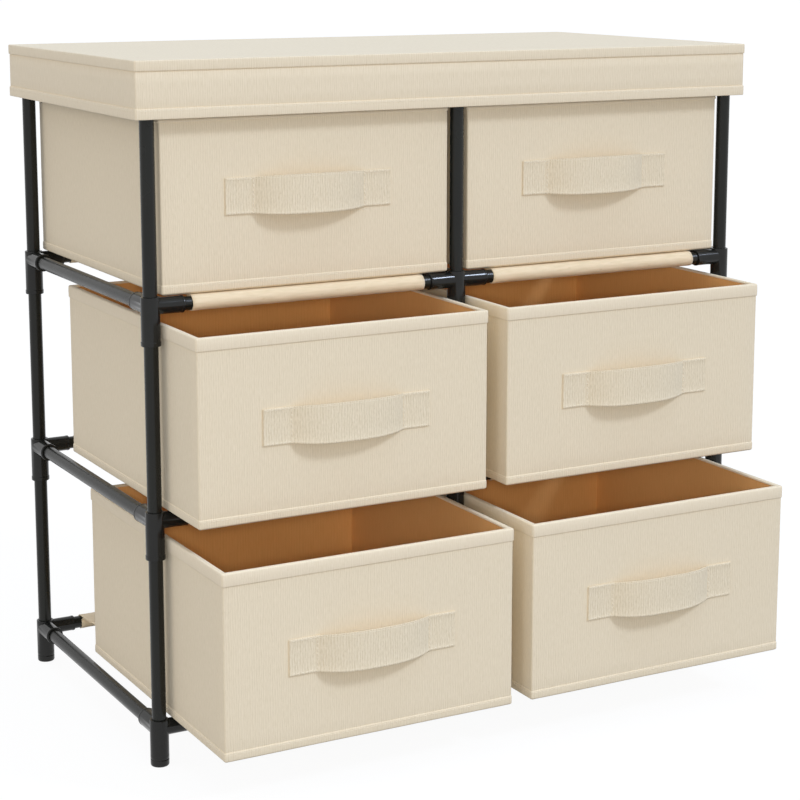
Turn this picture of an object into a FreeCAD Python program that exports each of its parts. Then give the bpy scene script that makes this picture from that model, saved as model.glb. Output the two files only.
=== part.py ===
import FreeCAD, Part
import math
import os
from FreeCAD import Vector

# Fabric drawer dresser: steel tubes in plastic connectors, sewn shelves, six fabric drawers and a lid.
# X runs to the right, Y to the rear and Z up. The lower and middle drawers stand partly open, and the origin
# is on the floor under the middle of the whole, open drawers included. All sizes are in millimetres.

# Tubes, sockets and sleeves are round. They are drawn as prisms whose flats touch the true circle, which
# keeps the many repeated pieces light. Larger multiples of four make them rounder.
round_flats = 12
bore_flats = 8              # inside tubes, sockets and sleeves

# Frame layout
bay_pitch = 262.0           # post axis to post axis, from side to side
frame_depth = 266.8         # front post axis to rear post axis
first_tier_height = 29.8    # floor to the lowest rail axis

# Tubes
post_tube_diameter = 11.0
side_rail_diameter = 11.0
cross_rail_diameter = 10.4
tube_wall = 0.8
tube_fit = 0.2              # radial clearance of a tube in its socket
tube_end_gap = 0.1          # from a tube's end to the stop that it is pushed against

# Connectors
hub_wall = 1.6              # wall of the upright socket
side_socket_wall = 1.6
cross_socket_wall = 0.95
head_rise = 7.3             # rail axis to the connector's top
socket_reach = 26.0         # post axis to the mouth of a rail socket
socket_floor_wall = 1.0     # plastic between the hub's bore and a rail tube's end
stop_depth = 11.0           # rail axis down to the stop that the tube above stands on
stop_thickness = 2.0

# Foot caps
foot_height = 5.5
foot_stem_length = 9.0
foot_edge_round = 1.2

# Sewn shelves
shelf_cloth = 0.9
sleeve_fit = 0.3            # radial clearance of a sleeve on its rail
bare_rail = 6.0             # rail that shows between a socket's mouth and the sleeve
shelf_edge_sweep = 7.5      # how far the shelf's free edges curve in

# Drawers
drawer_side_clearance = 1.1
drawer_rest_gap = 0.3       # drawer bottom above the shelf
drawer_overhang = 1.9       # post axis to the outer face of a closed drawer
drawer_height = 143.2
drawer_headroom = 7.9       # top of a drawer to the shelf sleeve above it
drawer_wall = 2.5
lining_cloth = 0.5
band_proud = 0.8            # how far a hem or binding stands out from the cloth beside it
hem_height = 8.0
rim_height = 10.0
upper_rim_height = 2.6
rim_cloth = 0.8
rim_turn_in = 1.9           # how far the binding turns down inside
base_board_thickness = 3.0
base_board_clearance = 0.5
middle_row_pull = 63.0
lower_row_pull = 103.5
closed_pull = 0.0

# Handle straps
strap_length = 140.0
strap_height = 28.0
strap_cloth = 1.6
strap_patch = 23.0          # length sewn flat at each end
strap_bulge = 10.5          # finger gap behind the middle of the strap

# Lid
lid_side_overhang = 13.0    # post axis to the lid's outer face at the sides
lid_front_overhang = 11.6   # the same at the front and rear
lid_seat_gap = 0.2
lid_board_thickness = 9.3
lid_board_clearance = 0.3
lid_cloth = 0.8
skirt_height = 43.0
skirt_wall = 2.0
lid_trim_height = 8.0
lid_drawer_gap = 0.7        # top of the upper drawers to the skirt's lower edge

# Places that follow from the sizes above
sleeve_bore = cross_rail_diameter / 2 + sleeve_fit
sleeve_radius = sleeve_bore + shelf_cloth
drawer_lift = sleeve_radius + drawer_rest_gap       # rail axis to a drawer's bottom
strap_rise = drawer_height / 2                      # drawer bottom to the strap's middle

tier_pitch = drawer_lift + drawer_height + drawer_headroom + sleeve_radius
tier_names = ("base", "lower", "upper", "top")
tier_heights = {name: first_tier_height + tier_pitch * i for i, name in enumerate(tier_names)}
post_places = {"left": -bay_pitch, "middle": 0.0, "right": bay_pitch}
bay_centres = {"left": -bay_pitch / 2, "right": bay_pitch / 2}

post_bore = post_tube_diameter / 2 + tube_fit
hub_radius = post_bore + hub_wall
side_bore = side_rail_diameter / 2 + tube_fit
cross_bore = cross_rail_diameter / 2 + tube_fit
socket_floor = hub_radius + socket_floor_wall
rail_end = socket_floor + tube_end_gap
stop_underside = stop_depth + stop_thickness

drawer_width = bay_pitch - 2 * hub_radius - 2 * drawer_side_clearance
drawer_depth = frame_depth + 2 * drawer_overhang
lid_width = 2 * bay_pitch + 2 * lid_side_overhang
lid_depth = frame_depth + 2 * lid_front_overhang

# The frame stands back, so that the origin is midway between the widest open straps and the lid's rear
widest_pull = max(lower_row_pull, middle_row_pull, closed_pull)
front_reach = drawer_depth / 2 + widest_pull - band_proud + strap_bulge + strap_cloth
rear_reach = lid_depth / 2
frame_middle = (front_reach - rear_reach) / 2
side_places = {"front": frame_middle - frame_depth / 2, "rear": frame_middle + frame_depth / 2}

lid_board_bottom = tier_heights["top"] + head_rise + lid_seat_gap
lid_top = lid_board_bottom + lid_board_thickness + lid_cloth
skirt_bottom = lid_top - skirt_height
upper_drawer_height = skirt_bottom - lid_drawer_gap - tier_heights["upper"] - drawer_lift

# Each drawer row: its tier, how far it stands open, its height and the depth of its rim binding
drawer_rows = {
    "lower": ("base", lower_row_pull, drawer_height, rim_height),
    "middle": ("lower", middle_row_pull, drawer_height, rim_height),
    "upper": ("upper", closed_pull, upper_drawer_height, upper_rim_height),
}

along_x = Vector(1, 0, 0)
along_y = Vector(0, 1, 0)
along_z = Vector(0, 0, 1)
cut_margin = 1.0            # how far a cutting tool runs past the faces that it opens


def ring(radius, centre, axis, flats):
    # The flat-sided outline of a circle, with a flat facing along each of the main axes
    across = along_y if abs(axis.x) > 0.5 else along_x
    upward = axis.cross(across)
    corner_radius = radius / math.cos(math.pi / flats)
    corners = []
    for i in range(flats + 1):
        angle = (i + 0.5) * 2 * math.pi / flats
        corners.append(centre + (across * math.cos(angle) + upward * math.sin(angle)) * corner_radius)
    return Part.makePolygon(corners)


def rod(radius, start, axis, length, flats=round_flats):
    return Part.Face(ring(radius, start, axis, flats)).extrude(axis * length)


def tube(diameter, start, axis, length):
    outside = ring(diameter / 2, start, axis, round_flats)
    inside = ring(diameter / 2 - tube_wall, start, axis, bore_flats)
    return Part.Face([outside, inside]).extrude(axis * length)


def block(low, high):
    size = high - low
    return Part.makeBox(size.x, size.y, size.z, low)


def grown(low, high, amount):
    # The same block with its four upright sides moved out by an amount, or in where it is negative
    shift = Vector(amount, amount, 0)
    return low - shift, high + shift


def socket_ways(post, side):
    # The directions in which a post's connector holds rails
    ways = []
    if post != "right":
        ways.append((along_x, cross_bore, cross_socket_wall))
    if post != "left":
        ways.append((-along_x, cross_bore, cross_socket_wall))
    inward = along_y if side == "front" else -along_y
    ways.append((inward, side_bore, side_socket_wall))
    return ways


def connector(post, side, tier):
    # One moulding: an upright hub with a stop inside, and a blind socket for each rail
    centre = Vector(post_places[post], side_places[side], tier_heights[tier])
    hub_drop = first_tier_height - (foot_height if tier == "base" else 0.0)
    body = rod(hub_radius, centre - along_z * hub_drop, along_z, hub_drop + head_rise)
    ways = socket_ways(post, side)
    for axis, bore, wall in ways:
        body = body.fuse(rod(bore + wall, centre, axis, socket_reach))
    for axis, bore, wall in ways:
        mouth = socket_reach - socket_floor + cut_margin
        body = body.cut(rod(bore, centre + axis * socket_floor, axis, mouth, bore_flats))
    lower_bore = hub_drop - stop_underside + cut_margin
    stop_bottom = centre - along_z * stop_underside
    body = body.cut(rod(post_bore, stop_bottom, -along_z, lower_bore, bore_flats))
    if tier != "top":
        upper_bore = stop_depth + head_rise + cut_margin
        stop_top = centre - along_z * stop_depth
        body = body.cut(rod(post_bore, stop_top, along_z, upper_bore, bore_flats))
    return body.removeSplitter()


def connectors(tier):
    return [connector(post, side, tier) for post in post_places for side in side_places]


def upright(post, side):
    # Three tubes one above the other, each from one connector's stop to the next
    tubes = []
    for lower, upper in zip(tier_names, tier_names[1:]):
        bottom = tier_heights[lower] - stop_depth + tube_end_gap
        top = tier_heights[upper] - stop_underside - tube_end_gap
        start = Vector(post_places[post], side_places[side], bottom)
        tubes.append(tube(post_tube_diameter, start, along_z, top - bottom))
    return tubes


def cross_rails(tier):
    length = bay_pitch - 2 * rail_end
    rails = []
    for centre in bay_centres.values():
        for y in side_places.values():
            start = Vector(centre - length / 2, y, tier_heights[tier])
            rails.append(tube(cross_rail_diameter, start, along_x, length))
    return rails


def side_rails(post):
    length = frame_depth - 2 * rail_end
    start = frame_middle - length / 2
    return [
        tube(side_rail_diameter, Vector(post_places[post], start, height), along_y, length)
        for height in tier_heights.values()
    ]


def foot_cap(post, place):
    # A round pad with a softened lower edge and a stem that is pushed into the lowest socket
    ground = Vector(post_places[post], side_places[place], 0)
    edge = along_z * foot_edge_round
    sole = ring(hub_radius - foot_edge_round, ground, along_z, round_flats)
    side = ring(hub_radius, ground + edge, along_z, round_flats)
    lower_edge = Part.makeLoft([sole, side], True, True)
    pad = rod(hub_radius, ground + edge, along_z, foot_height - foot_edge_round)
    stem = rod(post_bore - tube_fit, ground + along_z * foot_height, along_z, foot_stem_length)
    return lower_edge.fuse(pad).fuse(stem).removeSplitter()


def shelf(bay, tier):
    # One sewn piece: a sleeve round each cross rail and a taut sheet between the tops of the two
    height = tier_heights[tier]
    start = bay_centres[bay] - bay_pitch / 2 + socket_reach + bare_rail
    length = bay_pitch - 2 * (socket_reach + bare_rail)
    seam = frame_depth / 2 - sleeve_radius * math.tan(math.pi / round_flats)
    top = height + sleeve_radius
    sheet_low = Vector(start, frame_middle - seam, top - shelf_cloth)
    cloth = block(sheet_low, Vector(start + length, frame_middle + seam, top))
    for edge_x, inward in ((start, 1), (start + length, -1)):
        cloth = cloth.cut(edge_sweep(edge_x, inward, height))
    for y in side_places.values():
        sleeve = rod(sleeve_radius, Vector(start, y, height), along_x, length)
        bore_start = Vector(start - cut_margin, y, height)
        bore = rod(sleeve_bore, bore_start, along_x, length + 2 * cut_margin, bore_flats)
        cloth = cloth.fuse(sleeve).cut(bore)
    return cloth.removeSplitter()


def edge_sweep(edge_x, inward, height):
    # The bow-shaped piece that is cut away along a free edge of a shelf
    reach = frame_depth / 2 - sleeve_radius
    outer = edge_x - inward * cut_margin
    front = Vector(outer, frame_middle - reach, height)
    middle = Vector(edge_x + inward * shelf_edge_sweep, frame_middle, height)
    rear = Vector(outer, frame_middle + reach, height)
    bow = Part.Wire([Part.Arc(front, middle, rear).toShape(), Part.LineSegment(rear, front).toShape()])
    return Part.Face(bow).extrude(along_z * (sleeve_radius + cut_margin))


def drawer_corners(bay, row):
    # Lowest and highest corners of a drawer, hems and bindings included
    tier, pull, height, rim = drawer_rows[row]
    front = frame_middle - drawer_depth / 2 - pull
    bottom = tier_heights[tier] + drawer_lift
    low = Vector(bay_centres[bay] - drawer_width / 2, front, bottom)
    return low, low + Vector(drawer_width, drawer_depth, height)


def drawer_shell(low, high):
    # Cloth over stiff panels, open at the top, with a hem round the foot
    wall_low, wall_high = grown(low, high, -band_proud)
    walls = block(wall_low, wall_high - along_z * rim_cloth)
    hem = block(low, Vector(high.x, high.y, low.z + hem_height))
    inside_low, inside_high = grown(wall_low, wall_high, -drawer_wall)
    inside = block(inside_low + along_z * drawer_wall, inside_high + along_z * cut_margin)
    return walls.fuse(hem).cut(inside).removeSplitter()


def drawer_lining(low, high):
    # A thin brown skin on the inside of the walls and the bottom
    outer_low, outer_high = grown(low, high, -band_proud - drawer_wall)
    outer_low = outer_low + along_z * drawer_wall
    skin = block(outer_low, outer_high - along_z * rim_cloth)
    inner_low, inner_high = grown(outer_low, outer_high, -lining_cloth)
    return skin.cut(block(inner_low + along_z * lining_cloth, inner_high))


def drawer_rim(low, high, rim):
    # A folded binding over the top edge of the walls and the lining, which ends just inside
    inside = band_proud + drawer_wall + lining_cloth
    foot = along_z * (high.z - low.z - rim)
    inner_foot = along_z * (high.z - low.z - rim_turn_in)
    band = block(low + foot, high)
    wall_low, wall_high = grown(low, high, -band_proud)
    slot_inner_low, slot_inner_high = grown(low, high, -inside)
    slot = block(wall_low + foot, wall_high - along_z * rim_cloth)
    slot = slot.cut(block(slot_inner_low + inner_foot, slot_inner_high))
    open_low, open_high = grown(low, high, -inside - rim_cloth)
    mouth = block(open_low + foot - along_z * cut_margin, open_high + along_z * cut_margin)
    return band.cut(mouth).cut(slot)


def drawer_base_board(low, high):
    # A loose stiff board that lies on the lining
    inset = band_proud + drawer_wall + lining_cloth + base_board_clearance
    board_low, board_high = grown(low, high, -inset)
    board_low = board_low + along_z * (drawer_wall + lining_cloth)
    return block(board_low, Vector(board_high.x, board_high.y, board_low.z + base_board_thickness))


def drawer_strap(low, high):
    # A flat strap, sewn down at both ends, that stands off the drawer's front between them
    middle = Vector((low.x + high.x) / 2, low.y + band_proud, low.z + strap_rise - strap_height / 2)
    half = strap_length / 2
    loop = half - strap_patch
    outer_loop = loop + strap_cloth / 2

    def point(x, out):
        return middle + Vector(x, -out, 0)

    outline = Part.Wire([
        Part.LineSegment(point(-half, 0), point(-loop, 0)).toShape(),
        Part.Arc(point(-loop, 0), point(0, strap_bulge), point(loop, 0)).toShape(),
        Part.LineSegment(point(loop, 0), point(half, 0)).toShape(),
        Part.LineSegment(point(half, 0), point(half, strap_cloth)).toShape(),
        Part.LineSegment(point(half, strap_cloth), point(outer_loop, strap_cloth)).toShape(),
        Part.Arc(
            point(outer_loop, strap_cloth),
            point(0, strap_bulge + strap_cloth),
            point(-outer_loop, strap_cloth),
        ).toShape(),
        Part.LineSegment(point(-outer_loop, strap_cloth), point(-half, strap_cloth)).toShape(),
        Part.LineSegment(point(-half, strap_cloth), point(-half, 0)).toShape(),
    ])
    return Part.Face(outline).extrude(along_z * strap_height)


def lid_pieces():
    # A board under a cloth cover with a stiff skirt, a trim round the top edge and a hem below
    outer_low = Vector(-lid_width / 2, frame_middle - lid_depth / 2, skirt_bottom)
    outer_high = outer_low + Vector(lid_width, lid_depth, skirt_height)
    wall_low, wall_high = grown(outer_low, outer_high, -band_proud)
    inside_low, inside_high = grown(wall_low, wall_high, -skirt_wall)
    wall = block(wall_low, wall_high)
    cavity = block(inside_low - along_z * cut_margin, inside_high - along_z * lid_cloth)
    board_low, board_high = grown(inside_low, inside_high, -lid_board_clearance)
    board_low = Vector(board_low.x, board_low.y, lid_board_bottom)
    trim_low = Vector(outer_low.x, outer_low.y, lid_top - lid_trim_height)
    hem_high = Vector(outer_high.x, outer_high.y, skirt_bottom + hem_height)
    return {
        "lid_board": block(board_low, board_high - along_z * lid_cloth),
        "lid_cover": wall.cut(cavity),
        "lid_edge_trim": block(trim_low, outer_high).cut(wall),
        "lid_hem": block(outer_low, hem_high).cut(wall),
    }


def frame_pieces():
    pieces = {}
    for tier in tier_names:
        pieces["connectors_" + tier] = connectors(tier)
        pieces["cross_rails_" + tier] = cross_rails(tier)
    for post in post_places:
        pieces["side_rails_" + post] = side_rails(post)
        for side in side_places:
            pieces["upright_" + side + "_" + post] = upright(post, side)
    pieces["foot_caps"] = [foot_cap(post, side) for post in post_places for side in side_places]
    for row, (tier, pull, height, rim) in drawer_rows.items():
        for bay in bay_centres:
            pieces["shelf_" + row + "_" + bay] = shelf(bay, tier)
    return pieces


def drawer_pieces():
    pieces = {}
    for row, (tier, pull, height, rim) in drawer_rows.items():
        for bay in bay_centres:
            low, high = drawer_corners(bay, row)
            name = "drawer_" + row + "_" + bay
            pieces[name + "_shell"] = drawer_shell(low, high)
            pieces[name + "_lining"] = drawer_lining(low, high)
            pieces[name + "_rim"] = drawer_rim(low, high, rim)
            pieces[name + "_base_board"] = drawer_base_board(low, high)
            pieces[name + "_strap"] = drawer_strap(low, high)
    return pieces


os.makedirs("parts", exist_ok=True)
for node, shape in {**frame_pieces(), **lid_pieces(), **drawer_pieces()}.items():
    if isinstance(shape, list):
        shape = Part.makeCompound(shape)
    shape.exportStep("parts/" + node + ".step")
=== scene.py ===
import math

import bmesh
import bpy
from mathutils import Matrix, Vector, noise


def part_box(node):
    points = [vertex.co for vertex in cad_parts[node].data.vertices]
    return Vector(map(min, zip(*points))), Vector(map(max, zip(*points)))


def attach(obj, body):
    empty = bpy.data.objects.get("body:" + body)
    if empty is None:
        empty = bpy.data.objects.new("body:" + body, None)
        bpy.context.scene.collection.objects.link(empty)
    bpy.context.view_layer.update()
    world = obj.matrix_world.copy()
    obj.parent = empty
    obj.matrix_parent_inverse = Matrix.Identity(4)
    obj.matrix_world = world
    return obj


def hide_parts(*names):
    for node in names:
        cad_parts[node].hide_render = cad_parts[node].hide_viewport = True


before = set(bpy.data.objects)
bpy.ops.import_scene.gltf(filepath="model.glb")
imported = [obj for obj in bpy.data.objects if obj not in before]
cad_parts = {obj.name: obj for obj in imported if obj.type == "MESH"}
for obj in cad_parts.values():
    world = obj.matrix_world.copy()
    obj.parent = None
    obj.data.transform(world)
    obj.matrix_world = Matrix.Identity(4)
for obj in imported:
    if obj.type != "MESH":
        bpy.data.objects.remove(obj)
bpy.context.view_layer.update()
print("frame loaded,", len(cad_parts), "nodes")

mm = 0.001
scene = bpy.context.scene
scene.view_settings.view_transform = "Standard"

# layout, read off the frame
tiers = ("base", "lower", "upper", "top")
posts = ("left", "middle", "right")
sides = ("front", "rear")
bays = ("left", "right")
rows = ("lower", "middle", "upper")


def middleOf(node):
    low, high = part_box(node)
    return (low + high) / 2


postX = {post: middleOf(f"upright_front_{post}").x for post in posts}
sideY = {side: middleOf(f"upright_{side}_left").y for side in sides}
tierZ = {tier: middleOf(f"cross_rails_{tier}").z for tier in tiers}
frameMiddle = Vector((postX["middle"], (sideY["front"] + sideY["rear"]) / 2, 0))


# shader helpers
def paint(red, green, blue):
    # a colour as read on a screen, 0 to 255, turned into the linear one that shaders take
    def linear(value):
        share = value / 255
        return share / 12.92 if share <= 0.04045 else ((share + 0.055) / 1.055) ** 2.4
    return (linear(red), linear(green), linear(blue), 1)


def fill(tree, node, given):
    # link or set each named input of a node
    for key, value in given.items():
        if isinstance(value, bpy.types.NodeSocket):
            tree.links.new(value, node.inputs[key])
        else:
            node.inputs[key].default_value = value
    return node.outputs


def wire(tree, kind, given=None, **settings):
    node = tree.nodes.new("ShaderNode" + kind)
    for key, value in settings.items():
        setattr(node, key, value)
    return fill(tree, node, given or {})


def calc(tree, operation, first, second=0.0):
    return wire(tree, "Math", {0: first, 1: second}, operation=operation)[0]


def remap(tree, value, low, high, newLow=0.0, newHigh=1.0):
    given = {"Value": value, "From Min": low, "From Max": high, "To Min": newLow, "To Max": newHigh}
    return wire(tree, "MapRange", given)[0]


def blendColour(tree, share, first, second, kind="MIX"):
    return wire(tree, "Mix", {0: share, 6: first, 7: second}, data_type="RGBA", blend_type=kind)[2]


# camera, lamps and floor
studio = {
    "lens": 91.17,
    "shiftY": -0.12,
    "yaw": 28.655,      # degrees to the right of straight back
    "pitch": -9.925,
    "eye": (-0.8079, -1.5178, 0.6185),      # from the floor under the middle of the frame
    "sky": 0.617,
    "skyTint": (0.871, 0.905, 1.0, 1.0),
    "floorTone": 0.95,
    "floorBounce": 0.33,    # what the floor gives back to the object
    "floorGlow": 0.92,      # share of plain white in what the camera sees of the floor
    "floorWhite": 1.02,     # a little over white, so that the open floor has no tint
    "floorSize": 60.0,
    "aimHeight": 0.27,      # half way up the object
}
# each far lamp: degrees left of the front, degrees above the horizon, softness, strength, tint, glint
farLamps = {
    "key": (-43, 42, 10.5, 1.4, (0.701, 0.804, 1.0), True),
    "overhead": (0, 88, 40, 0.66, (0.5, 0.727, 1.0), False),
    "leftFill": (104, 12, 40, 0.475, (1.0, 0.936, 0.865), False),
}
# near lamps shine into the open drawers, as bright far off as near
# each one: degrees as above, reach, power, size, tint
nearLamps = {
    "frontFill": (None, None, None, 8.852, 0.05, (1.0, 0.915, 0.794)),     # at the camera's place
    "sideFill": (48, 7.5, 1.75, 3.786, 0.15, (0.81, 0.87, 1.0)),
}


def direction(turn, height):
    turn, height = math.radians(turn), math.radians(height)
    level = math.cos(height)
    return Vector((-math.sin(turn) * level, -math.cos(turn) * level, math.sin(height)))


def setCamera():
    data = bpy.data.cameras.new("photoCamera")
    camera = bpy.data.objects.new("photoCamera", data)
    data.sensor_width = 36
    data.lens = studio["lens"]
    data.shift_y = studio["shiftY"]
    data.clip_end = 100
    yaw, pitch = math.radians(studio["yaw"]), math.radians(studio["pitch"])
    ahead = Vector((math.sin(yaw) * math.cos(pitch), math.cos(yaw) * math.cos(pitch), math.sin(pitch)))
    camera.location = frameMiddle + Vector(studio["eye"])
    camera.rotation_euler = ahead.to_track_quat("-Z", "Y").to_euler()
    scene.collection.objects.link(camera)
    scene.camera = camera


def setLamps():
    for name, (turn, height, softness, strength, tint, glint) in farLamps.items():
        data = bpy.data.lights.new(name, "SUN")
        data.angle = math.radians(softness)
        data.energy = strength
        data.color = tint
        lamp = bpy.data.objects.new(name, data)
        lamp.rotation_euler = direction(turn, height).to_track_quat("Z", "Y").to_euler()
        lamp.visible_glossy = glint
        scene.collection.objects.link(lamp)
    for name, (turn, height, reach, watts, size, tint) in nearLamps.items():
        data = bpy.data.lights.new(name, "POINT")
        data.shadow_soft_size = size
        data.energy = watts
        data.color = tint
        data.use_nodes = True
        even = wire(data.node_tree, "LightFalloff", {"Strength": 1.0})["Constant"]
        data.node_tree.links.new(even, data.node_tree.nodes["Emission"].inputs["Strength"])
        lamp = bpy.data.objects.new(name, data)
        lamp.location = frameMiddle + Vector(studio["eye"])
        if reach:
            aim = frameMiddle + Vector((0, 0, studio["aimHeight"]))
            lamp.location = aim + direction(turn, height) * reach
        lamp.visible_glossy = False
        scene.collection.objects.link(lamp)


def seenShare(tree):
    # one for what the camera, a gloss or a clear piece sees, nought for what lights the object
    path = wire(tree, "LightPath")
    seen = calc(tree, "MAXIMUM", path["Is Camera Ray"], path["Is Glossy Ray"])
    return calc(tree, "MAXIMUM", seen, path["Is Transmission Ray"])


def setSky():
    world = bpy.data.worlds.new("studioSky")
    scene.world = world
    world.use_nodes = True
    tree = world.node_tree
    tree.nodes.clear()
    light = wire(tree, "Background", {"Color": studio["skyTint"], "Strength": studio["sky"]})[0]
    white = wire(tree, "Background", {"Color": (1, 1, 1, 1), "Strength": 1.0})[0]
    mixed = wire(tree, "MixShader", {0: seenShare(tree), 1: light, 2: white})[0]
    wire(tree, "OutputWorld", {"Surface": mixed})


def setFloor():
    half = studio["floorSize"] / 2
    mesh = bpy.data.meshes.new("floor")
    corners = [(-half, -half, 0), (half, -half, 0), (half, half, 0), (-half, half, 0)]
    mesh.from_pydata(corners, [], [(0, 1, 2, 3)])
    material = bpy.data.materials.new("paleFloor")
    material.use_nodes = True
    tree = material.node_tree
    tree.nodes.clear()
    bounce, tone = studio["floorBounce"], studio["floorTone"]
    dull = wire(tree, "BsdfDiffuse", {"Color": (bounce, bounce, bounce, 1)})[0]
    pale = wire(tree, "BsdfDiffuse", {"Color": (tone, tone, tone, 1)})[0]
    white = wire(tree, "Emission", {"Color": (1, 1, 1, 1), "Strength": studio["floorWhite"]})[0]
    shown = wire(tree, "MixShader", {0: studio["floorGlow"], 1: pale, 2: white})[0]
    mixed = wire(tree, "MixShader", {0: seenShare(tree), 1: dull, 2: shown})[0]
    wire(tree, "OutputMaterial", {"Surface": mixed})
    mesh.materials.append(material)
    floor = bpy.data.objects.new("floor", mesh)
    scene.collection.objects.link(floor)


setCamera()
setLamps()
setSky()
setFloor()
print("camera, lamps and floor set")


# shared effects: weave, mottle and grain
def newGroup(name, inputs, outputs):
    group = bpy.data.node_groups.new(name, "ShaderNodeTree")
    for label, kind, value in inputs:
        socket = group.interface.new_socket(name=label, in_out="INPUT", socket_type="NodeSocket" + kind)
        if value is not None:
            socket.default_value = value
    for label, kind in outputs:
        group.interface.new_socket(name=label, in_out="OUTPUT", socket_type="NodeSocket" + kind)
    given = group.nodes.new("NodeGroupInput").outputs
    result = group.nodes.new("NodeGroupOutput").inputs
    return group, given, result


def placeGroup(tree, group, given):
    node = tree.nodes.new("ShaderNodeGroup")
    node.node_tree = group
    return fill(tree, node, given)


# each noise: width in ribs, length in slubs, shift
slub = {
    "wanderNoise": (0.3, 0.25, 2.0),
    "wander": 9.0,                  # how far the ribs stray, in radians
    "strengthNoise": (0.8, 0.7, 0.0),
    "strengthRange": (0.35, 0.62),
    "fibreNoise": (2.4, 1.6, 5.0),
    "fibreRange": (0.25, 0.75),
    "fibre": 0.3,
    "speckNoise": (1.1, 3.2, 8.0),
    "speckRange": (0.66, 0.8),
    "speck": -0.5,
    "weftRate": 2.3,                # cross yarns to a rib
    "weft": 0.12,
}


def makeSlubWeave():
    # ribbed weave of thick and thin yarn: the ribs run along the second cloth direction
    inputs = [
        ("Cloth", "Vector", None),
        ("Rib Pitch", "Float", 0.002),
        ("Slub Length", "Float", 0.009),
        ("Rib Share", "Float", 0.4),
    ]
    group, given, result = newGroup("slubWeave", inputs, [("Tone", "Float"), ("Height", "Float")])
    across, along = wire(group, "SeparateXYZ", {0: given["Cloth"]})[:2]
    ribCount = calc(group, "DIVIDE", across, given["Rib Pitch"])
    slubCount = calc(group, "DIVIDE", along, given["Slub Length"])

    def yarn(wide, tall, shift):
        x = calc(group, "MULTIPLY", ribCount, wide)
        y = calc(group, "MULTIPLY", slubCount, tall)
        place = wire(group, "CombineXYZ", {0: x, 1: y, 2: shift})[0]
        return wire(group, "TexNoise", {"Vector": place, "Scale": 1.0, "Detail": 1.0, "Roughness": 0.5})[0]

    wander = calc(group, "MULTIPLY", yarn(*slub["wanderNoise"]), slub["wander"])
    turn = calc(group, "ADD", calc(group, "MULTIPLY", ribCount, 2 * math.pi), wander)
    strength = remap(group, yarn(*slub["strengthNoise"]), *slub["strengthRange"])
    ribs = calc(group, "MULTIPLY", calc(group, "SINE", turn), strength)
    ribs = calc(group, "MULTIPLY", ribs, given["Rib Share"])
    fibres = remap(group, yarn(*slub["fibreNoise"]), *slub["fibreRange"], -slub["fibre"], slub["fibre"])
    specks = remap(group, yarn(*slub["speckNoise"]), *slub["speckRange"], 0.0, slub["speck"])
    tone = calc(group, "ADD", calc(group, "ADD", ribs, 0.5), calc(group, "ADD", fibres, specks))
    weftTurn = calc(group, "MULTIPLY", along, 2 * math.pi * slub["weftRate"])
    weft = calc(group, "SINE", calc(group, "DIVIDE", weftTurn, given["Rib Pitch"]))
    weft = calc(group, "MULTIPLY", weft, slub["weft"])
    group.links.new(tone, result["Tone"])
    group.links.new(calc(group, "ADD", tone, weft), result["Height"])
    return group


def makeSoftMottle():
    # slow uneven shade, about one in the middle
    inputs = [("Place", "Vector", None), ("Size", "Float", 0.08), ("Amount", "Float", 0.03)]
    group, given, result = newGroup("softMottle", inputs, [("Shade", "Float")])
    scale = calc(group, "DIVIDE", 1.0, given["Size"])
    patches = wire(group, "TexNoise", {"Vector": given["Place"], "Scale": scale, "Detail": 3.0})[0]
    swing = calc(group, "MULTIPLY", calc(group, "SUBTRACT", patches, 0.5), given["Amount"])
    group.links.new(calc(group, "ADD", calc(group, "MULTIPLY", swing, 2.0), 1.0), result["Shade"])
    return group


def makeFineGrain():
    # fine even grain of a moulded or sprayed surface, and a slow haze for its gloss
    inputs = [("Place", "Vector", None), ("Grain Size", "Float", 0.0006), ("Haze Size", "Float", 0.03)]
    group, given, result = newGroup("fineGrain", inputs, [("Grain", "Float"), ("Haze", "Float")])
    for size, label in (("Grain Size", "Grain"), ("Haze Size", "Haze")):
        scale = calc(group, "DIVIDE", 1.0, given[size])
        spots = wire(group, "TexNoise", {"Vector": given["Place"], "Scale": scale, "Detail": 2.0})[0]
        group.links.new(remap(group, spots, 0.25, 0.75), result[label])
    return group


slubWeave = makeSlubWeave()
softMottle = makeSoftMottle()
fineGrain = makeFineGrain()


# materials
def blankMaterial(name):
    material = bpy.data.materials.new(name)
    material.use_nodes = True
    return material, material.node_tree, material.node_tree.nodes["Principled BSDF"]


def shadeBy(tree, colour, shade):
    grey = wire(tree, "CombineColor", {0: shade, 1: shade, 2: shade})[0]
    return blendColour(tree, 1.0, colour, grey, "MULTIPLY")


def bumpInto(tree, shader, height, strength, depth):
    given = {"Height": height, "Strength": strength, "Distance": depth}
    tree.links.new(wire(tree, "Bump", given)[0], shader.inputs["Normal"])


# what all cloths share
clothBase = {
    "roughSwing": (-0.06, 0.05),    # on dark yarn and on light
    "specular": 0.25,
    "sheenRough": 0.5,
    "sheenTint": (1, 0.985, 0.95, 1),
}


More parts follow.
